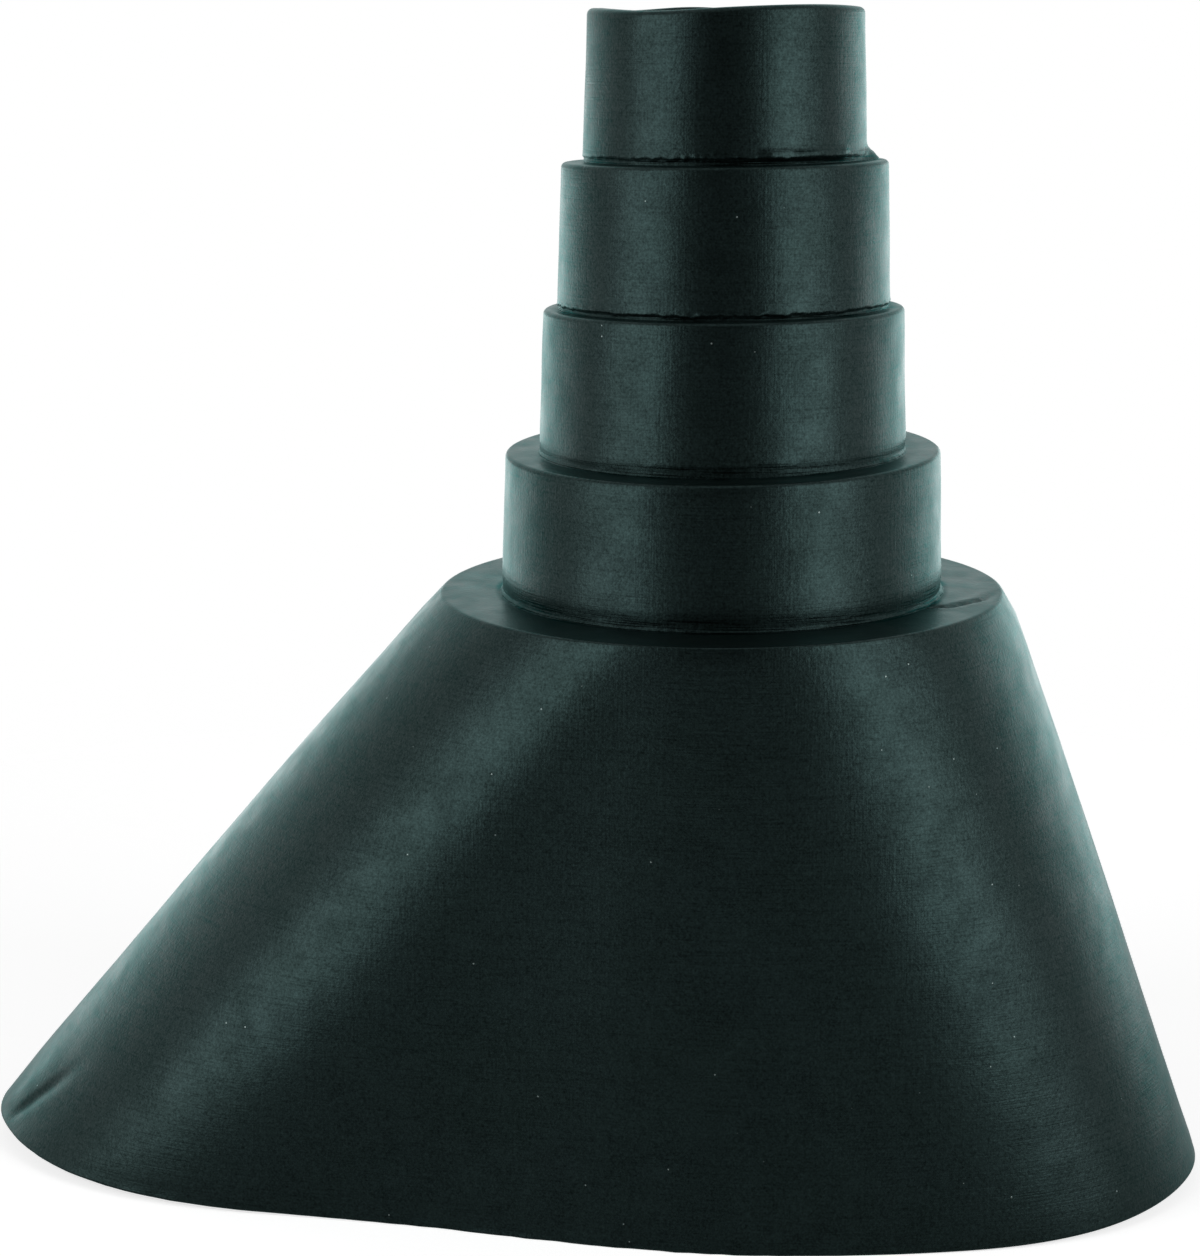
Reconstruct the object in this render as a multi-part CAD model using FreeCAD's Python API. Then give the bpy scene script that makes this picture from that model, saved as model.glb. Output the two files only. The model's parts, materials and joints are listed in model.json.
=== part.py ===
import FreeCAD, Part
import math
import os

# Stepped flashing boot that seals a mast or pipe where it passes through a pitched roof.
#
# It is one rubber moulding. Four round cuffs stand on each other, each a push fit on one
# mast size, and the cuffs above the size in use are cut off. Below them a hollow skirt
# runs out to an egg-shaped mouth, which goes over the raised collar of the roof tile.
# Its long tail lies along the slope, and its short nose is on the other side of the mast.
#
# Frame, in millimetres: +Z is up along the mast's axis, and z = 0 is the flat ledge from
# which the cuffs rise. The skirt's nose is towards +X and its tail towards -X.

# Cuffs, from the foot up: the mast diameter that each one grips
foot_bore = 60.0
lower_bore = 48.0
upper_bore = 42.0
top_bore = 35.0

# Wall of each cuff at its upper rim, where it is thinnest
foot_wall = 2.5
lower_wall = 2.7
upper_wall = 3.0
top_wall = 2.7

# Height of each cuff on the outside
foot_height = 21.0
lower_height = 22.0
upper_height = 21.4
top_height = 21.8

cuff_draft = 1.75  # degrees by which a cuff's outside leans in from its foot to its rim
shoulder = 3.0  # thickness of the flat ring where one cuff steps in to the next
rim_easing = 0.8  # width of the bevel that eases a cuff's upper outside edge

# Skirt, with its reaches measured from the mast's axis
ledge_radius = 41.8
skirt_height = 88.5
skirt_wall = 3.3  # measured level, so a side that leans out is thinner square to its face
skirt_roof = 3.0
tail_reach = 117.3
nose_reach = 73.8
tail_radius = 25.0  # of the base outline at the tail's tip
nose_radius = 24.0
base_half_width = 43.3
widest_offset = 14.0  # how far the base is widest on the nose side of the axis

through = 5.0  # how far a cutting form runs past the face that it opens
strip_turn = 12.0  # degrees that one strip of the skirt may turn through, so facets stay few

cuffs = [
    (foot_bore, foot_wall, foot_height),
    (lower_bore, lower_wall, lower_height),
    (upper_bore, upper_wall, upper_height),
    (top_bore, top_wall, top_height),
]


def turned(corners):
    """Solid of revolution about Z, from the (radius, z) corners of a closed outline."""
    points = [FreeCAD.Vector(radius, 0, z) for radius, z in corners]
    outline = Part.Face(Part.makePolygon(points + points[:1]))
    return outline.revolve(FreeCAD.Vector(0, 0, 0), FreeCAD.Vector(0, 0, 1), 360)


def sleeve_outside():
    """The four drafted cuffs as one solid spindle, which reaches down into the skirt's roof."""
    slope = math.tan(math.radians(cuff_draft))
    foot = foot_bore / 2 + foot_wall + slope * foot_height
    corners = [(0, -skirt_roof), (foot, -skirt_roof)]
    level = 0.0
    for bore, wall, height in cuffs:
        rim = bore / 2 + wall
        corners.append((rim + slope * height, level))
        level += height
        corners.append((rim + slope * rim_easing, level - rim_easing))
        corners.append((rim - rim_easing, level))
    corners.append((0, level))
    return turned(corners)


def sleeve_core():
    """The stepped bores as one solid, which leaves a shoulder under each outside step."""
    corners = [(0, -skirt_roof - through), (foot_bore / 2, -skirt_roof - through)]
    level = 0.0
    for (bore, wall, height), (next_bore, next_wall, next_height) in zip(cuffs, cuffs[1:]):
        level += height
        corners.append((bore / 2, level - shoulder))
        corners.append((next_bore / 2, level - shoulder))
    top = level + top_height + through
    corners += [(top_bore / 2, top), (0, top)]
    return turned(corners)


def egg():
    """The base outline as six arcs that run smoothly into each other.

    Each is (centre x, centre y, radius, direction at its start, direction at its end), with
    directions in radians round the arc's own centre. A half of the egg, towards the nose or
    the tail, is an end arc and two side arcs, which meet the other half's where it is widest.
    """

    def side(length, end_radius):
        """Radius of a side arc, and the direction in which it meets the end arc."""
        to_centre = length - end_radius
        narrowing = base_half_width - end_radius
        radius = (to_centre**2 / narrowing + base_half_width + end_radius) / 2
        return radius, math.atan2(radius - base_half_width, to_centre)

    nose_side, nose_turn = side(nose_reach - widest_offset, nose_radius)
    tail_side, tail_turn = side(tail_reach + widest_offset, tail_radius)
    tail_turn = math.pi - tail_turn
    widest = math.pi / 2
    nose_centre = nose_reach - nose_radius
    tail_centre = tail_radius - tail_reach
    nose_drop = nose_side - base_half_width
    tail_drop = tail_side - base_half_width
    return [
        (nose_centre, 0, nose_radius, -nose_turn, nose_turn),
        (widest_offset, -nose_drop, nose_side, nose_turn, widest),
        (widest_offset, -tail_drop, tail_side, widest, tail_turn),
        (tail_centre, 0, tail_radius, tail_turn, 2 * math.pi - tail_turn),
        (widest_offset, tail_drop, tail_side, -tail_turn, -widest),
        (widest_offset, nose_drop, nose_side, -widest, -nose_turn),
    ]


def skirt_outline(depth, inset):
    """Outline of the skirt at a depth below the ledge, moved in level by an inset.

    It passes from the ledge's circle to the egg. Each arc keeps its own directions all the
    way down, so its part of the skirt belongs to a slanted cone, and neighbours meet with
    no crease. An arc is made in equal spans, one for each strip of that cone.
    """
    share = depth / skirt_height
    spans = []
    for centre_x, centre_y, base_radius, start, end in egg():
        centre = FreeCAD.Vector(centre_x * share, centre_y * share, -depth)
        radius = ledge_radius + (base_radius - ledge_radius) * share - inset

        def at(direction):
            return centre + FreeCAD.Vector(math.cos(direction), math.sin(direction)) * radius

        count = math.ceil((end - start) / math.radians(strip_turn))
        turn = (end - start) / count
        for index in range(count):
            first = start + turn * index
            arc = Part.Arc(at(first), at(first + turn / 2), at(first + turn))
            spans.append(arc.toShape())
    return Part.Wire(spans)


def skirt_form(top, bottom, inset):
    """Solid between two depths of the skirt, ruled straight from the one to the other."""
    outlines = [skirt_outline(top, inset), skirt_outline(bottom, inset)]
    return Part.makeLoft(outlines, True, True)


def boot():
    """The moulding: what a mould's cavity leaves round its core."""
    cavity = skirt_form(0, skirt_height, 0).fuse(sleeve_outside())
    core = skirt_form(skirt_roof, skirt_height + through, skirt_wall).fuse(sleeve_core())
    return cavity.cut(core)


moulding = boot()
os.makedirs("parts", exist_ok=True)
moulding.exportStep("parts/boot.step")
box = moulding.optimalBoundingBox()
print("boot: %d solid, %d faces" % (len(moulding.Solids), len(moulding.Faces)))
print("size %.1f x %.1f x %.1f mm" % (box.XLength, box.YLength, box.ZLength))
print("volume %.1f cm3" % (moulding.Volume / 1000))
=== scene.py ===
# %% [markdown]
# # A stepped flashing boot in moulded rubber
#
# The boot seals a mast where it passes through a pitched roof. It is one rubber moulding:
# four round cuffs of falling size, and a hollow skirt that spreads to an egg-shaped mouth.
# The fitter cuts off the cuffs that are too narrow and pushes the rest down over the mast.
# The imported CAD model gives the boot's real size and place, so it is loaded first, and every
# length on the boot below is either read from it or stated in millimetres.

# %% Load the CAD model
import json
import math

import bmesh
import bpy
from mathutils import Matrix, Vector, geometry, noise


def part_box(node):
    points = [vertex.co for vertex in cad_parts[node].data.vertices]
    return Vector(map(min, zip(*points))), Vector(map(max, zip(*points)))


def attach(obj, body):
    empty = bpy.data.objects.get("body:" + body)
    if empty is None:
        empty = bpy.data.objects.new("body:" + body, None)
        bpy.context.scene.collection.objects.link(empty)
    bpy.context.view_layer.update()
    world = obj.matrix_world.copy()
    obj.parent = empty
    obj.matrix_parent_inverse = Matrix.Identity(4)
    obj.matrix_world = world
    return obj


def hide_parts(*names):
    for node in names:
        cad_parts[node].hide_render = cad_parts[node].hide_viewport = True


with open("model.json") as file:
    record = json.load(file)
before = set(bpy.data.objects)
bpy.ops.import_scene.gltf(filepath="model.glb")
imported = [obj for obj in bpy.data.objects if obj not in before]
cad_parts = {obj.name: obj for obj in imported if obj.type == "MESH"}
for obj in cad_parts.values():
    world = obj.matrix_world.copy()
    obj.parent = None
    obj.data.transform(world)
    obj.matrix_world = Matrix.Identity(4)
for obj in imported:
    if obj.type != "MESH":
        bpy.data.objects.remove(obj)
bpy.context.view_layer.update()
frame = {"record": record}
mm = 0.001
lowest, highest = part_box("boot")
print("CAD box in mm:", [round(side / mm, 1) for side in highest - lowest])

# %% [markdown]
# ## Camera
#
# A product is usually shown from a little above with a long lens, so that its upright lines
# stay nearly parallel. Here the lens looks some degrees down on the ledge and a few degrees
# round towards the tail. The aim is given as two angles, because they can be reasoned about
# one at a time, which the coordinates of a target can't.

# %% Place the camera
camera_place = Vector((37.3, -426.4, 81.0)) * mm
turn_left = math.radians(7.45)
look_down = math.radians(11.46)
sensor = 36.0
lens = 82.4

aim = Vector((-math.sin(turn_left), math.cos(turn_left), -math.tan(look_down)))
camera_data = bpy.data.cameras.new("camera")
camera_data.lens = lens
camera_data.sensor_width = sensor
camera_data.clip_start = 10 * mm
camera = bpy.data.objects.new("camera", camera_data)
camera.rotation_mode = "QUATERNION"
camera.rotation_quaternion = aim.to_track_quat("-Z", "Y")
camera.location = camera_place
bpy.context.scene.collection.objects.link(camera)
bpy.context.scene.camera = camera
print("camera stands", round(camera_place.length / mm), "mm from the ledge's centre")

# %% [markdown]
# ## Sizes of the cuffs
#
# Each cuff grips one mast size, so its bore is a mount in the CAD record. The bores stand on
# each other from the roof of the skirt up, and each outside step is one shoulder higher than
# the step in the bore. The outsides lean in a little, which lets the moulding leave its mould.
# Reading the bores from the record, and not writing them here again, keeps the two models
# the same if a mast size ever changes.

# %% Read the bores and work out the outsides
shoulder = 3.0 * mm
walls = [2.5 * mm, 2.7 * mm, 3.0 * mm, 2.7 * mm]
draft = math.tan(math.radians(1.75))
bore_names = ["foot_bore", "lower_bore", "upper_bore", "top_bore"]
mounts = {mount["name"]: mount["dims"] for mount in frame["record"]["mounts"]}

cuffs = []
bore_level = -shoulder
foot_level = 0.0
for name, wall in zip(bore_names, walls):
    bore = mounts[name]["r_mm"] * mm
    bore_top = bore_level + mounts[name]["length_mm"] * mm
    rim_level = highest.z if name == "top_bore" else bore_top + shoulder
    foot = bore + wall + draft * (rim_level - foot_level)
    cuffs.append({"bore": bore, "bore_level": bore_level, "bore_top": bore_top,
                  "rim": bore + wall, "rim_level": rim_level,
                  "foot": foot, "foot_level": foot_level})
    print(name, "radius", round(bore / mm, 1), "mm, outside rim at", round(rim_level / mm, 1), "mm")
    bore_level = bore_top
    foot_level = rim_level

# %% [markdown]
# ## Section of the neck
#
# The neck is round, so it is a section turned about the mast's axis. The section starts at
# the ledge's edge, climbs the outside over the top rim and comes down through the bores to
# the roof of the skirt. Stacked cylinders would need to be joined and cut, and would leave
# messy seams where a turned section has none.

# %% Draw the section
ledge_radius = 42.2 * mm
skirt_wall = 3.3 * mm
rim_rounding = 0.7 * mm
top_outer_rounding = 0.9 * mm
top_inner_rounding = 0.6 * mm
corner_rounding = 0.35 * mm

shape = bmesh.new()
line = [shape.verts.new((ledge_radius, 0, 0))]
rounding = {rim_rounding: [], top_outer_rounding: [], top_inner_rounding: [], corner_rounding: []}


def draw_to(radius, level, corner=None):
    """Adds the section's next point, and keeps it with the others that get the same rounding."""
    line.append(shape.verts.new((radius, 0, level)))
    shape.edges.new(line[-2:])
    if corner:
        rounding[corner].append(line[-1])


for cuff in cuffs:
    top = cuff is cuffs[-1]
    draw_to(cuff["foot"], cuff["foot_level"], corner_rounding)
    draw_to(cuff["rim"], cuff["rim_level"], top_outer_rounding if top else rim_rounding)
draw_to(cuffs[-1]["bore"], highest.z, top_inner_rounding)
for cuff, below in zip(cuffs[::-1], cuffs[-2::-1]):
    draw_to(cuff["bore"], cuff["bore_level"], corner_rounding)
    draw_to(below["bore"], cuff["bore_level"], corner_rounding)
draw_to(cuffs[0]["bore"], cuffs[0]["bore_level"], corner_rounding)
draw_to(ledge_radius - skirt_wall, cuffs[0]["bore_level"])
print("section:", len(line), "corners")

# %% [markdown]
# The corners are rounded while the section is still a line, because one corner here becomes
# a whole ring later. Rims get the soft rounding of a mould's edge, and the inner corners a
# small one, as in rubber that has filled a turned mould.

# %% Round the corners
for size, corners in rounding.items():
    bmesh.ops.bevel(shape, geom=corners, offset=size, offset_type="OFFSET", segments=5,
                    profile=0.5, affect="VERTICES", material=-1, clamp_overlap=True)
print("rounded section:", len(shape.verts), "points")

# %% [markdown]
# ## Turn the section
#
# The long lines of the section are divided before it is turned, so that the surface has
# enough points to take the small faults of a real moulding. The lowest part of each cuff
# gets the finest spacing, because the mould's flash was trimmed off there. The ledge comes
# next, and the bores, which nobody sees into, get the widest spacing.

# %% Divide the outsides of the cuffs
foot_zone = 2.6 * mm
foot_spacing = 0.26 * mm
wall_spacing = 2.4 * mm
long_line = 10 * mm


def divide(edges, spacing):
    """Cuts every edge into equal steps no longer than the spacing."""
    for edge in edges:
        cuts = math.ceil(edge.calc_length() / spacing) - 1
        if cuts > 0:
            bmesh.ops.subdivide_edges(shape, edges=[edge], cuts=cuts)


def level_of(edge):
    return sum(v.co.z for v in edge.verts) / 2


def radius_of(edge):
    return sum(v.co.x for v in edge.verts) / 2


for cuff in cuffs:
    wall_edges = [e for e in shape.edges if e.calc_length() > long_line
                  and radius_of(e) > cuff["bore"] + 1 * mm
                  and cuff["foot_level"] < level_of(e) < cuff["rim_level"]]
    for edge in wall_edges:
        lower = min(edge.verts, key=lambda v: v.co.z)
        share = foot_zone / edge.calc_length()
        cut = bmesh.utils.edge_split(edge, lower, share)[0]
        divide([cut], foot_spacing if cut.calc_length() < 2 * foot_zone else wall_spacing)
print("with divided cuffs:", len(shape.verts), "points")

# %% Divide the rest and spin the section
spokes = 380
bore_spacing = 4.0 * mm
ledge_spacing = 0.8 * mm
hair = 0.01 * mm


def is_upright(edge):
    return abs(edge.verts[0].co.x - edge.verts[1].co.x) < hair


divide([e for e in shape.edges if abs(level_of(e)) < 0.1 * mm], ledge_spacing)
divide([e for e in shape.edges if e.calc_length() > long_line and is_upright(e)], bore_spacing)
divide([e for e in shape.edges if e.calc_length() > 1.2 * wall_spacing and not is_upright(e)], wall_spacing)
print("divided section:", len(shape.verts), "points")
bmesh.ops.spin(shape, geom=shape.verts[:] + shape.edges[:], cent=(0, 0, 0), axis=(0, 0, 1),
               angle=math.tau, steps=spokes, use_merge=True)
print("turned neck:", len(shape.faces), "faces")

# %% [markdown]
# The skirt's long flanks need more spokes than its round ends. So every point is turned a
# little about the axis, away from the ends. A round neck stays round when its points slide
# along their circles, and the skirt that grows from it gets its spokes where they are needed.
# Each point keeps the direction it faces in a layer of its own, which the operators copy.

# %% Crowd the spokes towards the flanks
crowding = 0.3
facing = shape.verts.layers.float.new("facing")
for vertex in shape.verts:
    x, y, z = vertex.co
    angle = math.atan2(y, x)
    angle += crowding * math.sin(2 * angle)
    vertex[facing] = angle
    reach = math.hypot(x, y)
    vertex.co = (reach * math.cos(angle), reach * math.sin(angle), z)
widest_step = math.degrees(math.tau / spokes) * (1 + 2 * crowding)
print("widest step between spokes:", round(widest_step, 2), "degrees")

# %% [markdown]
# ## Outline of the mouth
#
# The egg starts as two half-ellipses that meet where it is widest: a short one to the nose
# and a long one to the tail. Two slow waves then ease each of them out of the true ellipse,
# because stretched rubber runs fuller near its ends and flatter along its flanks. A point of
# the outline is found from the direction that its side faces. The ledge's circle is asked
# the same question, so the skirt can join the two with no twist in it.

# %% Work out the mouth
base_level = lowest.z
half_width = 42.7 * mm
widest = 2.3 * mm
nose_reach = highest.x + 0.4 * mm
tail_reach = -lowest.x - 1.3 * mm
nose_form = {"reach": nose_reach - widest, "wave": 0.8 * mm, "fullness": 1.0 * mm}
tail_form = {"reach": tail_reach + widest, "wave": 3.1 * mm, "fullness": 2.4 * mm}
softening = 0.25  # lets the waves start gently at the widest place, with no kink there


def level_vector(direction):
    return Vector((math.cos(direction), math.sin(direction), 0))


def form_of(direction):
    return nose_form if math.cos(direction) > 0 else tail_form


def mouth(direction):
    """Point of the mouth's outline whose side faces in a level direction, in radians."""
    form = form_of(direction)
    along = form["reach"] * math.cos(direction)
    across = half_width * math.sin(direction)
    stretch = math.hypot(along, across)
    way = (math.hypot(along / stretch, softening) - softening) / (math.hypot(1, softening) - softening)
    swell = form["fullness"] * math.sin(math.pi * way) - form["wave"] * math.sin(math.tau * way)
    point = Vector((form["reach"] * along, half_width * across, 0)) / stretch
    return point + Vector((widest, 0, 0)) + level_vector(direction) * swell


print("mouth:", round((nose_reach + tail_reach) / mm, 1), "by", round(2 * half_width / mm, 1), "mm")

# %% [markdown]
# ## Faults of the skirt
#
# Soft rubber is never quite true. The wall has slow waves, the tip of the tail was pinched
# into a fold when it was packed, and a little flash stands on the rim where the mould closed.
# Such faults are made from smooth steps and soft hills round the axis. A few numbers then say
# where a fault is, how high it is and how far it spreads, which sculpted points wouldn't.
# Down the skirt, places are shares of its height, from 0 at the ledge to 1 at the rim.

# %% Helpers for soft faults
def smooth(low, high, value):
    """0 below low, 1 above high, and a smooth climb between them."""
    share = min(1, max(0, (value - low) / (high - low)))
    return share * share * (3 - 2 * share)


def hill(away, spread):
    """A soft hill of height 1 at no distance, which is down to a third at its spread."""
    return math.exp(-((away / spread) ** 2))


def bumps(direction, hills):
    """Height in metres of soft hills round the axis: (bearing in degrees, height in mm, spread)."""
    height = 0
    for bearing, rise, spread in hills:
        away = (math.degrees(direction) - bearing + 180) % 360 - 180
        height += rise * mm * hill(away, spread)
    return height


print("a hill at its spread:", round(hill(1, 1), 2))

# %% Waves, the fold in the tail and flash on the rim
wave_depths = {24 * mm: 0.12 * mm, 7 * mm: 0.05 * mm}
fold_bearing = -132.4
fold_slant = 48
fold_level = 0.86
fold_begins = (0.84, 0.90)
fold_ends = (0.95, 1)
fold_groove = (-0.6, 2.0)
fold_roll = (0.45, 6)
roll_offset = 10
flash_begins = (0.988, 1)
rim_flash = [(-95, 0.3, 12), (-120, 0.2, 8)]
flash_grain = 2.5 * mm


def skirt_fault(direction, share, place):
    """How far the skirt's face stands out at a place, beyond its true form."""
    waves = sum(depth * noise.noise(place / length) for length, depth in wave_depths.items())
    pinch = smooth(*fold_begins, share) * (1 - smooth(*fold_ends, share))
    crease = fold_bearing - fold_slant * (share - fold_level)
    fold = pinch * bumps(direction, [(crease, *fold_groove), (crease - roll_offset, *fold_roll)])
    flash = smooth(*flash_begins, share) * bumps(direction, rim_flash)
    return waves + fold + flash * max(0, 0.6 + noise.noise(place / flash_grain))


flash_peak = bumps(math.radians(rim_flash[0][0]), rim_flash)
print("flash on the rim:", round(flash_peak / mm, 2), "mm before it is roughened")

# %% [markdown]
# ## Form of the skirt
#
# A place on the skirt lies on the straight line from the ledge's circle to the mouth. Three
# things bend that line: the ends bow out, as hollow rubber does, the wall tucks in by a hair
# at the rim, and the rim lifts off the floor at the tips of nose and tail. The lift grows
# steeply towards the tips, so that most of the rim stays flat.

# %% Work out a place on the skirt
nose_form.update({"bulge": 1.3 * mm, "bulge_rise": 0.45, "lift": 2.3 * mm, "lift_power": 4.3, "tuck": 0})
tail_form.update({"bulge": 1.8 * mm, "bulge_rise": 0.79, "lift": 3.4 * mm, "lift_power": 4.0,
                  "tuck": 0.6 * mm})
tip_tuck_height = 0.07
rim_tuck = 0.12 * mm
rim_tuck_start = 0.955


def skirt_place(direction, share, inset=0.0):
    """Place on the skirt at a share of its height below the ledge, inset in level."""
    form = form_of(direction)
    rim = mouth(direction)
    place = (level_vector(direction) * ledge_radius).lerp(rim, share)
    endwise = math.cos(direction) ** 2
    swollen = form["bulge"] * endwise * math.sin(math.pi * share ** form["bulge_rise"])
    swollen -= form["tuck"] * endwise**2 * hill(1 - share, tip_tuck_height)
    swollen -= rim_tuck * smooth(rim_tuck_start, 1, share) ** 1.5
    lift = form["lift"] * (abs(rim.x - widest) / form["reach"]) ** form["lift_power"]
    place.z = base_level * share + lift * share**3
    return place + level_vector(direction) * (swollen + skirt_fault(direction, share, place) - inset)


tail_tip = skirt_place(math.pi, 1)
print("tail's tip:", [round(value / mm, 1) for value in tail_tip], "mm")

# %% [markdown]
# ## Draw the skirt down
#
# Each of the neck's two open rings is drawn down as a row of new rings, the way a plug draws
# rubber into a mould. The rings lie closer together towards the mouth, where a free rim has
# most to show. The inner ring goes first, inset by the wall, and then the outer one.

# %% Extrude both open rings of the neck
outer_rings = 36
inner_rings = 14
crowd_to_rim = 1.5


def open_ring(level):
    """The open edges that lie at a level."""
    return [e for e in shape.edges if e.is_boundary and all(abs(v.co.z - level) < hair for v in e.verts)]


def draw_down(ring, count, inset):
    """Extrudes a ring of edges down the skirt in steps, and gives back the last ring."""
    start = ring[0].verts[0].co.z / base_level
    for step in range(1, count + 1):
        new = bmesh.ops.extrude_edge_only(shape, edges=ring)["geom"]
        ring = [e for e in new if isinstance(e, bmesh.types.BMEdge) and e.is_boundary]
        share = 1 - (1 - start) * (1 - step / count) ** crowd_to_rim
        for vertex in {v for e in ring for v in e.verts}:
            vertex.co = skirt_place(vertex[facing], share, inset)
    return ring


inner_rim = draw_down(open_ring(-shoulder), inner_rings, skirt_wall)
outer_rim = draw_down(open_ring(0), outer_rings, 0)
print("skirt:", len(inner_rim), "edges on the inner rim,", len(outer_rim), "on the outer")

# %% [markdown]
# The rim is closed by drawing the outer ring straight in onto the inner one. Both rings have
# one point for each direction, so the points meet in pairs and are merged. Bridging the two
# rings is the usual way, but on this long egg it can pick the wrong pairs at the ends and
# weave the rim shut with slanted faces.

# %% Close the rim
rim_band = bmesh.ops.extrude_edge_only(shape, edges=outer_rim)["geom"]
landing = {v for v in rim_band if isinstance(v, bmesh.types.BMVert)}
for vertex in landing:
    vertex.co = skirt_place(vertex[facing], 1, skirt_wall)
inner_points = {v for e in inner_rim for v in e.verts}
bmesh.ops.remove_doubles(shape, verts=list(landing | inner_points), dist=0.001 * mm)
print("open edges left:", sum(e.is_boundary for e in shape.edges))

# %% [markdown]
# The ledge's edge and the outer edge of the rim are eased, so that each catches a thin line
# of light. A sharp edge in a render looks cut from card, and moulded rubber has none.

# %% Ease the two long edges
edge_easing = 0.35 * mm
ledge_edge = [e for e in shape.edges
              if all(abs(v.co.z) < hair and math.hypot(v.co.x, v.co.y) > ledge_radius - 0.1 * mm
                     for v in e.verts)]
for edges in (ledge_edge, outer_rim):
    bmesh.ops.bevel(shape, geom=edges, offset=edge_easing, offset_type="OFFSET", segments=3,
                    profile=0.5, affect="EDGES", material=-1, clamp_overlap=True)
bmesh.ops.recalc_face_normals(shape, faces=shape.faces[:])
print("skirt and neck:", len(shape.faces), "faces,", sum(e.is_boundary for e in shape.edges), "open edges")

# %% [markdown]
# ## Lean of the steps
#
# The moulding was warm when it left its mould, and it set a little out of true. The rims
# stand higher towards the nose, the ledge and the lowest cuff's rim stand higher at the back
# too, and the top rim is wavy where a knife trimmed it. Only heights change here, by less
# than two millimetres, and each change fades out above and below the place that it is for.

# %% Slow faults in the heights
step_tilt = 0.011
lean_full_from = 15 * mm
back_tilt = 0.026
first_rim_begins = (8 * mm, 20 * mm)
first_rim_ends = (24 * mm, 36 * mm)
ledge_rise_back = 0.016
ledge_rise_nose = 0.006
ledge_rise_ends = (2 * mm, 14 * mm)
top_wave = [(-172, 0.3, 25), (-115, -0.37, 25), (-45, 0.3, 35), (112, 0.55, 22), (50, 0.5, 20)]
top_wave_height = 12 * mm


def ledge_rise(place):
    """How much higher the ledge stands towards the back and the nose, fading out above and below it."""
    near = 1 - smooth(*ledge_rise_ends, abs(place.z))
    return near * (ledge_rise_back * (place.y + ledge_radius) + ledge_rise_nose * place.x)


def lean(place, direction):
    """Raises or lowers a place of the neck by the slow faults."""
    place.z += step_tilt * place.x * smooth(0, lean_full_from, place.z)
    near_first_rim = smooth(*first_rim_begins, place.z) * (1 - smooth(*first_rim_ends, place.z))
    place.z += back_tilt * (place.y + cuffs[0]["rim"]) * near_first_rim
    place.z += bumps(direction, top_wave) * smooth(highest.z - top_wave_height, highest.z, place.z)
    place.z += ledge_rise(place)


back_of_ledge = Vector((0, ledge_radius, 0))
print("ledge at the back:", round(ledge_rise(back_of_ledge) / mm, 2), "mm higher")

# %% [markdown]
# ## Trimmed feet
#
# The mould's parts met at the foot of each cuff, and rubber crept into that joint. The flash
# was cut away by hand, which left a shallow ragged band with a thin lip above it, and a small
# bead in the corner where the knife didn't reach. Every cuff was trimmed in its own way, so
# each has a row of values. Heights, depths and lips are in millimetres, and the hills say
# round which bearings the band and the bead show.

# %% How each foot was trimmed
foot_bands = [
    {"height": 1.6, "fade": 1.5, "depth": 0.22, "lip": 0,
     "hills": [(-160, 1, 45), (-10, 1, 45), (-85, 0.8, 50)],
     "bead": [(-155, 0.44, 38), (-12, 0.48, 42), (-85, 0.18, 40)]},
    {"height": 1.5, "fade": 0.6, "depth": 0.26, "lip": 0.02,
     "hills": [(-85, 1, 32), (60, 1, 60)],
     "bead": [(-150, 0.34, 22), (-25, 0.42, 22)]},
    {"height": 0.7, "fade": 0.15, "depth": 0.30, "lip": 0.10,
     "hills": [(-85, 1, 90), (90, 1, 90)],
     "bead": [(-155, 0.35, 16), (-22, 0.35, 16)]},
    {"height": 0.95, "fade": 0.15, "depth": 0.36, "lip": 0.10,
     "hills": [(-85, 1, 60), (90, 1, 90)],
     "bead": [(-140, 0.2, 20)]},
]
edge_waves = {1.6: 0.3, 0.6: 0.2}
lip_offset = 0.2
lip_width = 0.3
lip_breaks = 1.5
lip_grain = 0.9
bead_height = 0.14
bead_width = 0.17
bead_breaks = 0.5
bead_grain = 1.2
noise_step = 7.3  # gives each cuff its own stretch of the noise


def ragged(direction, index, grain):
    """Noise from -1 to 1 that runs round one cuff only, with a grain in mm."""
    place = level_vector(direction) * cuffs[index]["foot"] / (grain * mm)
    return noise.noise(place + Vector((0, 0, noise_step * index)))


def trimming(direction, index, height):
    """How far trimming left the wall standing out, in mm, and how trimmed it is, at a height in mm."""
    band = foot_bands[index]
    shown = min(1, bumps(direction, band["hills"]) / mm)
    edge = band["height"] + sum(rise * ragged(direction, index, grain) for grain, rise in edge_waves.items())
    inside = shown * (1 - smooth(edge - band["fade"], edge + band["fade"], height))
    lip = band["lip"] * shown * max(0, 1 + lip_breaks * ragged(direction, index, lip_grain))
    lip *= hill(height - edge - lip_offset, lip_width)
    bead = bumps(direction, band["bead"]) / mm * (1 + bead_breaks * ragged(direction, index, bead_grain))
    bead *= hill(height - bead_height, bead_width)
    return lip + bead - band["depth"] * inside, inside


print("cut away at the feet, in mm:", [band["depth"] for band in foot_bands])

# %% [markdown]
# The top cuff shows two more things of its own. A thin flap of flash was pressed flat against
# the wall on the near side, and a small web of rubber fills the corner towards the nose.

# %% Flap and web on the top cuff
top_cuff = len(cuffs) - 1
flap_begins = (-73, -66)
flap_ends = (-31, -26)
flap_foot = (0.5, 0.8)
flap_thickness = 0.42
flap_top = 2.0
flap_waves = 0.35
flap_grain = 2.2
web = [(3, 2.0, 13)]
web_height = 3.0


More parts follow.
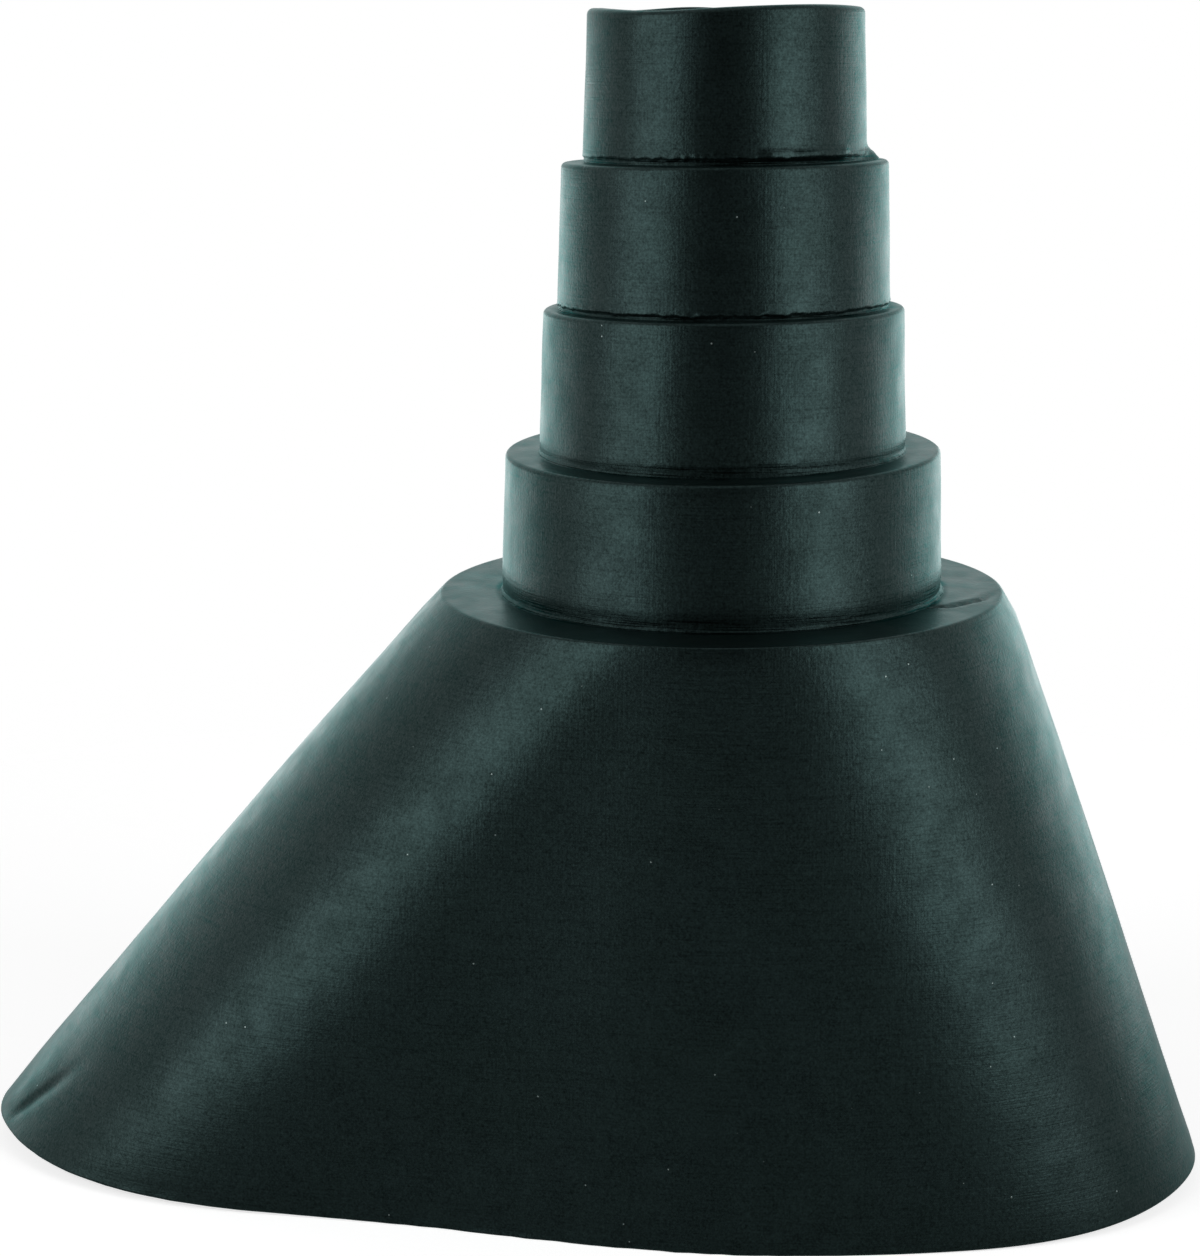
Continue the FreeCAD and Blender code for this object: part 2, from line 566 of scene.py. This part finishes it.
def flap_and_web(direction, height):
    """How far the flap and the web stand out, in mm, and how near its edge the flap is."""
    bearing = math.degrees(direction)
    flap = smooth(*flap_begins, bearing) * (1 - smooth(*flap_ends, bearing))
    top_edge = flap_top + flap_waves * ragged(direction, top_cuff, flap_grain)
    flap *= smooth(*flap_foot, height) * (1 - smooth(top_edge - 0.1, top_edge + 0.2, height))
    web_out = bumps(direction, web) / mm * (1 - smooth(0, web_height, height)) ** 2
    return flap_thickness * flap + web_out, 4 * flap * (1 - flap)


print("flap:", flap_ends[1] - flap_begins[0], "degrees long and", flap_thickness, "mm thick")

# %% [markdown]
# ## Crease in the ledge
#
# A short crease runs across the ledge towards the nose, where the hot rubber was bent. It is
# a groove along a line of four points, with a low ridge on each side from the rubber that
# was pushed out of it. It fades before the ledge's edge, so that the edge stays whole.

# %% Depth of the crease
ledge_crease = [(33.1, -22.5), (36.4, -18.5), (39.9, -8), (41.2, 0)]  # radius in mm, bearing in degrees
crease_line = [level_vector(math.radians(bearing)) * reach * mm for reach, bearing in ledge_crease]
crease_depth = 0.6
crease_width = 0.55
ridge_height = 0.12
ridge_width = 0.6
ridge_offset = 1.3
crease_fades = (39.6 * mm, 41.4 * mm)
overrun = 0.1


def crease_at(place):
    """Height of the ledge beyond its true level, at a place on it."""
    nearest = min((geometry.intersect_point_line(place, a, b) for a, b in zip(crease_line, crease_line[1:])),
                  key=lambda found: (place - found[0]).length + max(0, -found[1], found[1] - 1))
    if not -overrun < nearest[1] < 1 + overrun:
        return 0.0
    away = (place - nearest[0]).length / mm
    faded = 1 - smooth(*crease_fades, place.length)
    profile = ridge_height * hill(away - ridge_offset, ridge_width) - crease_depth * hill(away, crease_width)
    return faded * profile * mm


print("crease:", round(crease_at(crease_line[1]) / mm, 2), "mm at its second corner")

# %% [markdown]
# ## Give the neck its faults
#
# Every point of the neck is now moved by the faults that reach it. The rows of points low on
# a cuff are first crowded to the foot, where the bead is narrower than their even spacing.
# How trimmed a point is goes into a layer, which the material reads to dull the rubber there.

# %% Move the points of the neck
trimmed = shape.verts.layers.float.new("trimmed")
foot_rows = foot_zone / mm
crowd_to_foot = 1.7
wall_slack = 0.1 * mm
corner_slack = 0.45 * mm
trimming_reach = 4
below_ledge = -0.9 * mm
wall_roughness = 0.10 * mm
wall_grain = 9 * mm


def work_cuff(vertex, radius, index):
    """Gives a point the faults of one cuff, if the point lies on that cuff's outside."""
    cuff = cuffs[index]
    place = vertex.co
    outward = level_vector(vertex[facing])
    height = (place.z - cuff["foot_level"]) / mm
    off_wall = abs(radius - (cuff["foot"] - draft * height * mm))
    if 0 < height < foot_rows and off_wall < wall_slack:
        height = foot_rows * (height / foot_rows) ** crowd_to_foot
        place.z = cuff["foot_level"] + height * mm
        place.x, place.y, _ = outward * (cuff["foot"] - draft * height * mm)
    if -0.01 < height < trimming_reach and off_wall < corner_slack:
        out, inside = trimming(vertex[facing], index, height)
        if index == top_cuff:
            extra, flap_edge = flap_and_web(vertex[facing], height)
            out += extra
            inside = max(inside, flap_edge)
        vertex[trimmed] = inside
        place += outward * out * mm
    if 1 < height and radius > cuff["bore"] + 1 * mm and place.z < cuff["rim_level"] + hair:
        place += outward * wall_roughness * noise.noise(place / wall_grain)


for vertex in shape.verts:
    place = vertex.co
    if place.z < below_ledge:
        place.z += ledge_rise(place)
        continue
    radius = math.hypot(place.x, place.y)
    for index in range(len(cuffs)):
        work_cuff(vertex, radius, index)
    if abs(place.z) < 0.5 * mm and radius > cuffs[0]["foot"] + 0.3 * mm and place.x > 0:
        place.z += crease_at(Vector((place.x, place.y, 0)))
    lean(place, vertex[facing])
print("trimmed points:", sum(vertex[trimmed] > 0.5 for vertex in shape.verts))

# %% [markdown]
# ## The piece
#
# The mesh becomes one object, because the real boot is one moulding. It takes the place of
# the CAD solid, rides on the part's only body and takes its rubber.

# %% Make the piece
mesh = bpy.data.meshes.new("rubber_boot")
shape.to_mesh(mesh)
shape.free()
mesh.shade_smooth()
boot = bpy.data.objects.new("rubber_boot", mesh)
bpy.context.scene.collection.objects.link(boot)
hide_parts("boot")
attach(boot, "root")
print("piece:", sum(len(p.vertices) - 2 for p in mesh.polygons), "triangles")

# %% [markdown]
# ## Nodes
#
# A material is a tree of nodes. One helper adds a node, sets what is a plain value and links
# what is another node, so a line of script reads like one box of the editor. Colours are
# written in hex as a paint chart gives them, and turned to the linear light that sockets take.

# %% Helpers for colours and nodes
def linear(hex_colour):
    """A colour written as sRGB hex, as the linear values that a socket takes."""
    parts = [int(hex_colour[i:i + 2], 16) / 255 for i in (1, 3, 5)]
    return [c / 12.92 if c <= 0.04045 else ((c + 0.055) / 1.055) ** 2.4 for c in parts] + [1]


def add(tree, kind, sockets=None, **settings):
    """A new node with its settings, and its sockets set to values, or linked to nodes or outputs."""
    node = tree.nodes.new(kind)
    for name, value in settings.items():
        setattr(node, name, value)
    for name, value in (sockets or {}).items():
        if isinstance(value, bpy.types.Node):
            value = next(output for output in value.outputs if output.enabled)
        if isinstance(value, bpy.types.NodeSocket):
            tree.links.new(value, node.inputs[name])
        else:
            node.inputs[name].default_value = value
    return node


def new_tree(owner):
    """The empty node tree of a material or a world."""
    owner.use_nodes = True
    owner.node_tree.nodes.clear()
    return owner.node_tree


print("white is", linear("#ffffff"))

# %% [markdown]
# ## Moulded EPDM rubber
#
# The boot is EPDM, a synthetic rubber filled with carbon black and pressed in a steel mould.
# It takes the mould's faint grain, so its shine is broad and soft, and it is wiped, rubbed and
# dusty in places. All patterns are noise in real millimetres on the object's own coordinates.
# The grain of such a mould is about 0.1 mm, too fine to show at this distance, so it is drawn
# three to six times as coarse. Smudges of 5 mm and clouds of 16 mm are what hands leave.

# %% Grain, clouds and smudges
rubber = bpy.data.materials.new("moulded EPDM rubber")
rubber_tree = new_tree(rubber)
spot = add(rubber_tree, "ShaderNodeTexCoord").outputs["Object"]
patterns = {}
noises = [("grain", 0.6, 1.0), ("fine grain", 0.3, 1.0), ("clouds", 16, 2.0), ("smudges", 5, 2.0)]
for name, size, detail in noises:
    patterns[name] = add(rubber_tree, "ShaderNodeTexNoise",
                         {"Vector": spot, "Scale": 1 / (size * mm), "Detail": detail})
    print(name, "of", size, "mm")

# %% [markdown]
# Moulds are turned and polished, and hands wipe rubber round and along. Both leave fine lines,
# which are the same noise drawn out one way. Level lines go round the boot and show mainly
# where it was trimmed, upright ones follow the mast, and slanted ones cross them both. Real
# lines are some hundredths of a millimetre wide, and these are drawn wider so that they show.

# %% Drawn and wiped lines
def lines(length, thickness, turn=(0, 0, 0), upright=False):
    """Noise drawn out level, or upright, to lines of a length and thickness in mm."""
    across, along = 1 / (thickness * mm), 1 / (length * mm)
    scale = (across, across, along) if upright else (along, along, across)
    drawn = add(rubber_tree, "ShaderNodeMapping", {"Vector": spot, "Rotation": turn, "Scale": scale})
    return add(rubber_tree, "ShaderNodeTexNoise", {"Vector": drawn, "Scale": 1.0, "Detail": 1.0})


upright_lines = lines(14, 0.35, upright=True)
slanted_lines = lines(10, 0.3, turn=(0.5, 0.35, 0))
level_lines = add(rubber_tree, "ShaderNodeMapRange",
                  {"Value": lines(9, 0.2), "From Min": 0.53, "From Max": 0.66})
trimmed_band = add(rubber_tree, "ShaderNodeAttribute", attribute_name="trimmed").outputs["Fac"]
shown = add(rubber_tree, "ShaderNodeMath", {0: trimmed_band, 1: 0.85, 2: 0.15}, operation="MULTIPLY_ADD")
# The wiped lines are cut into the relief, and the bloom below also darkens them: painted shade in their
# grooves.
wiped_lines_and_groove_shade = add(rubber_tree, "ShaderNodeMath", {0: level_lines, 1: shown}, operation="MULTIPLY")
print("line patterns: level, upright and slanted")

# %% [markdown]
# Specks of dust lie a few millimetres apart. They are small spots round scattered points, and
# only some of the points are kept, so that they don't look sown. Real dust is finer, and it is
# drawn as coarse as it needs to show. Dust and the slow clouds then colour the black, which
# isn't neutral: this rubber leans to a cold green.

# %% Dust and colour
speck_spacing = 3.2 * mm
specks_kept = 0.3
speck_reach = 0.050
speck_core = 0.022
speck_cover = 0.45
points = add(rubber_tree, "ShaderNodeTexVoronoi",
             {"Vector": spot, "Scale": 1 / speck_spacing, "Randomness": 1.0})
chance = add(rubber_tree, "ShaderNodeSeparateColor", {"Color": points.outputs["Color"]})
kept = add(rubber_tree, "ShaderNodeMath", {0: chance, 1: specks_kept}, operation="LESS_THAN")
speck = add(rubber_tree, "ShaderNodeMapRange",
            {"Value": points.outputs["Distance"], "From Min": speck_reach, "From Max": speck_core,
             "To Max": speck_cover})
dust = add(rubber_tree, "ShaderNodeMath", {0: speck, 1: kept}, operation="MULTIPLY")
cloudy = add(rubber_tree, "ShaderNodeMapRange",
             {"Value": patterns["clouds"], "From Min": 0.3, "From Max": 0.7})
black = add(rubber_tree, "ShaderNodeMix", {"Factor": cloudy, "A": linear("#070b0b"), "B": linear("#0b1110")},
            data_type="RGBA")
dusty_black = add(rubber_tree, "ShaderNodeMix", {"Factor": dust, "A": black, "B": linear("#9aa8a6")},
                  data_type="RGBA")
print("specks of dust:", round(2 * speck_reach * speck_spacing / mm, 2), "mm across")

# %% [markdown]
# The relief is a sum of the patterns, each with its own depth in millimetres, so that a bump
# of true height comes out. The wiped lines are cut in and the dust stands up. Trimmed places
# were cut and not moulded, so they are duller.

# %% Relief and gloss
def summed(start, layers):
    """Sum of patterns, each with its weight, on top of a start."""
    total = start
    for pattern, weight in layers:
        total = add(rubber_tree, "ShaderNodeMath", {0: pattern, 1: weight, 2: total},
                    operation="MULTIPLY_ADD")
    return total


depths = [(patterns["grain"], 0.024), (patterns["fine grain"], 0.009), (upright_lines, 0.016),
          (slanted_lines, 0.016), (wiped_lines_and_groove_shade, -0.03), (dust, 0.03)]
relief = add(rubber_tree, "ShaderNodeBump", {"Height": summed(0.0, depths), "Strength": 1.0, "Distance": mm})
gloss = add(rubber_tree, "ShaderNodeMapRange",
            {"Value": patterns["smudges"], "From Min": 0.3, "From Max": 0.7, "To Min": 0.32, "To Max": 0.40})
roughness = summed(gloss, [(trimmed_band, 0.12)])
print("deepest layer of the relief:", max(abs(depth) for _, depth in depths), "mm")

# %% [markdown]
# Wax and carbon black come to the surface of EPDM as a bloom. It gives black rubber a cold
# sheen that paint doesn't have, and the sheen is uneven from grain to grain. A plain black
# with a clear coat would mirror the lamps in white. So the bloom is part metal, which lets
# the black tint what it mirrors. Its share starts at 0.39 and follows the grain, the smudges,
# the clouds and the trimmed bands. It rises most along the wiped lines, and because metal
# darkens this rubber, that rise is painted shade in their grooves. The specular tint is the
# cold green of the same sheen.

# %% Bloom, painted groove shade and the finished rubber
spread = {}
for name, low, high in (("grain", 0.2, 0.8), ("fine grain", 0.2, 0.8), ("smudges", 0.35, 0.65)):
    spread[name] = add(rubber_tree, "ShaderNodeMapRange",
                       {"Value": patterns[name], "From Min": low, "From Max": high, "To Min": -1.0})
# Metal darkens this near-black rubber, so the wiped lines' weight of 0.7 paints shade into their grooves.
bloom_and_groove_shade = summed(0.39, [(spread["fine grain"], 0.22), (spread["grain"], 0.14), (spread["smudges"], 0.06),
                      (wiped_lines_and_groove_shade, 0.7), (trimmed_band, 0.15), (cloudy, 0.12)])
skin = add(rubber_tree, "ShaderNodeBsdfPrincipled", {
    "Base Color": dusty_black, "Roughness": roughness, "Metallic": bloom_and_groove_shade, "IOR": 1.38,
    "Specular Tint": (0.55, 1.0, 0.98, 1.0), "Normal": relief})
add(rubber_tree, "ShaderNodeOutputMaterial", {"Surface": skin})
mesh.materials.append(rubber)
print("rubber:", len(rubber_tree.nodes), "nodes")

# %% [markdown]
# ## Floor
#
# The boot stands on a white paper sweep, which keeps its shadow. Its own light makes the
# paper white for the camera, and a little of it is left for what the rubber mirrors. Lamps
# strong enough to turn the paper white would burn out the boot. Further off the paper turns
# clear, so there is no line where it meets the white of the room.

# %% Lay the floor
floor_shape = bmesh.new()
bmesh.ops.create_grid(floor_shape, x_segments=1, y_segments=1, size=6.0)
bmesh.ops.translate(floor_shape, verts=floor_shape.verts, vec=(0, 0, base_level))
floor_mesh = bpy.data.meshes.new("floor")
floor_shape.to_mesh(floor_mesh)
floor_shape.free()
floor = bpy.data.objects.new("floor", floor_mesh)
bpy.context.scene.collection.objects.link(floor)
print("floor at", round(base_level / mm, 1), "mm")

# %% White paper
paper = bpy.data.materials.new("white paper sweep")
paper_tree = new_tree(paper)
glow_seen = 0.69
glow_mirrored = 0.24
clear_from = 170 * mm
clear_to = 400 * mm

rays = add(paper_tree, "ShaderNodeLightPath").outputs
mirrored = add(paper_tree, "ShaderNodeMath", {0: rays["Is Glossy Ray"], 1: rays["Is Transmission Ray"]},
               operation="MAXIMUM")
mirrored_glow = add(paper_tree, "ShaderNodeMath", {0: mirrored, 1: glow_mirrored}, operation="MULTIPLY")
glow_strength = add(paper_tree, "ShaderNodeMath", {0: rays["Is Camera Ray"], 1: glow_seen, 2: mirrored_glow},
                    operation="MULTIPLY_ADD")
glow = add(paper_tree, "ShaderNodeEmission", {"Color": linear("#ffffff"), "Strength": glow_strength})
matt_paper = add(paper_tree, "ShaderNodeBsdfDiffuse", {"Color": linear("#c8c8c8")})
lit_paper = add(paper_tree, "ShaderNodeAddShader", {0: glow, 1: matt_paper})

floor_spot = add(paper_tree, "ShaderNodeTexCoord").outputs["Object"]
far = add(paper_tree, "ShaderNodeVectorMath", {0: floor_spot}, operation="LENGTH").outputs["Value"]
fade = add(paper_tree, "ShaderNodeMapRange", {"Value": far, "From Min": clear_from, "From Max": clear_to},
           interpolation_type="SMOOTHSTEP")
clear = add(paper_tree, "ShaderNodeBsdfTransparent")
faded_paper = add(paper_tree, "ShaderNodeMixShader", {0: fade, 1: lit_paper, 2: clear})
add(paper_tree, "ShaderNodeOutputMaterial", {"Surface": faded_paper})
floor_mesh.materials.append(paper)
print("paper is clear beyond", round(clear_to / mm), "mm")

# %% [markdown]
# ## Room
#
# A white room stands behind the boot and in what the rubber mirrors. For the soft light that
# falls on the boot it is much weaker, because the lamps give most of that.

# %% Light the room
room = bpy.data.worlds.new("studio")
bpy.context.scene.world = room
room_tree = new_tree(room)
ambient = 0.3

rays = add(room_tree, "ShaderNodeLightPath").outputs
seen = add(room_tree, "ShaderNodeMath", {0: rays["Is Camera Ray"], 1: rays["Is Glossy Ray"]},
           operation="MAXIMUM")
seen = add(room_tree, "ShaderNodeMath", {0: seen, 1: rays["Is Transmission Ray"]}, operation="MAXIMUM")
room_strength = add(room_tree, "ShaderNodeMapRange", {"Value": seen, "To Min": ambient, "To Max": 1.0})
sky = add(room_tree, "ShaderNodeBackground", {"Color": linear("#ffffff"), "Strength": room_strength})
add(room_tree, "ShaderNodeOutputWorld", {"Surface": sky})
print("ambient light:", ambient)

# %% [markdown]
# ## Lamps
#
# A round black thing is drawn by what it mirrors. Two tall softboxes stand beside the camera,
# one on each side, and give every cuff its two upright bands of light. Two low, wide ones
# behind the boot light its far edges. A lamp is placed by its bearing from the camera's own,
# because that is how its band moves round the cuff.

# %% Set up the softboxes
camera_bearing = math.degrees(math.atan2(camera_place.y, camera_place.x))


def softbox(name, bearing, distance, rise, width, height, radiance):
    """A lamp at a bearing from the camera's, in degrees, turned to the boot. Lengths are in metres."""
    angle = math.radians(camera_bearing + bearing)
    light = bpy.data.lights.new(name, "AREA")
    light.shape = "RECTANGLE"
    light.size = width
    light.size_y = height
    light.energy = radiance * math.pi * width * height
    lamp = bpy.data.objects.new(name, light)
    lamp.location = level_vector(angle) * distance + Vector((0, 0, rise))
    lamp.rotation_mode = "QUATERNION"
    lamp.rotation_quaternion = (-lamp.location).to_track_quat("-Z", "Y")
    lamp.visible_camera = False
    bpy.context.scene.collection.objects.link(lamp)
    print(name, round(light.energy, 2), "W")


softbox("right_softbox", 54, 0.8, 0.10, 0.50, 1.0, 4.1)
softbox("left_softbox", -56, 0.8, 0.14, 0.54, 0.9, 3.5)
softbox("right_backlight", 138, 0.9, 0.00, 1.0, 0.36, 1.4)
softbox("left_backlight", -138, 0.9, -0.08, 1.0, 0.30, 1.25)

# %% [markdown]
# ## Flag
#
# A black card stands behind the camera, which studios call a flag. The white room would
# otherwise mirror in the middle of every cuff, and the card keeps that middle dark.

# %% Hang the flag
flag_distance = 0.75
flag_rise = 0.5
flag_shape = bmesh.new()
bmesh.ops.create_grid(flag_shape, x_segments=1, y_segments=1, size=0.5)
bmesh.ops.scale(flag_shape, verts=flag_shape.verts, vec=(1.0, 1.3, 1))
flag_mesh = bpy.data.meshes.new("flag")
flag_shape.to_mesh(flag_mesh)
flag_shape.free()
flag = bpy.data.objects.new("flag", flag_mesh)
towards_camera = level_vector(math.radians(camera_bearing))
flag.location = towards_camera * flag_distance + Vector((0, 0, flag_rise))
flag.rotation_mode = "QUATERNION"
flag.rotation_quaternion = (-towards_camera).to_track_quat("Z", "Y")
flag.visible_camera = False
bpy.context.scene.collection.objects.link(flag)

felt = bpy.data.materials.new("black felt")
felt_tree = new_tree(felt)
add(felt_tree, "ShaderNodeOutputMaterial",
    {"Surface": add(felt_tree, "ShaderNodeBsdfDiffuse", {"Color": linear("#0a0a0a")})})
flag_mesh.materials.append(felt)
print("flag hangs", flag_distance, "m from the mast's axis")

# %% [markdown]
# ## Colour view
#
# The standard view keeps colours as they are written.

# %% Set the view transform
bpy.context.scene.view_settings.view_transform = "Standard"
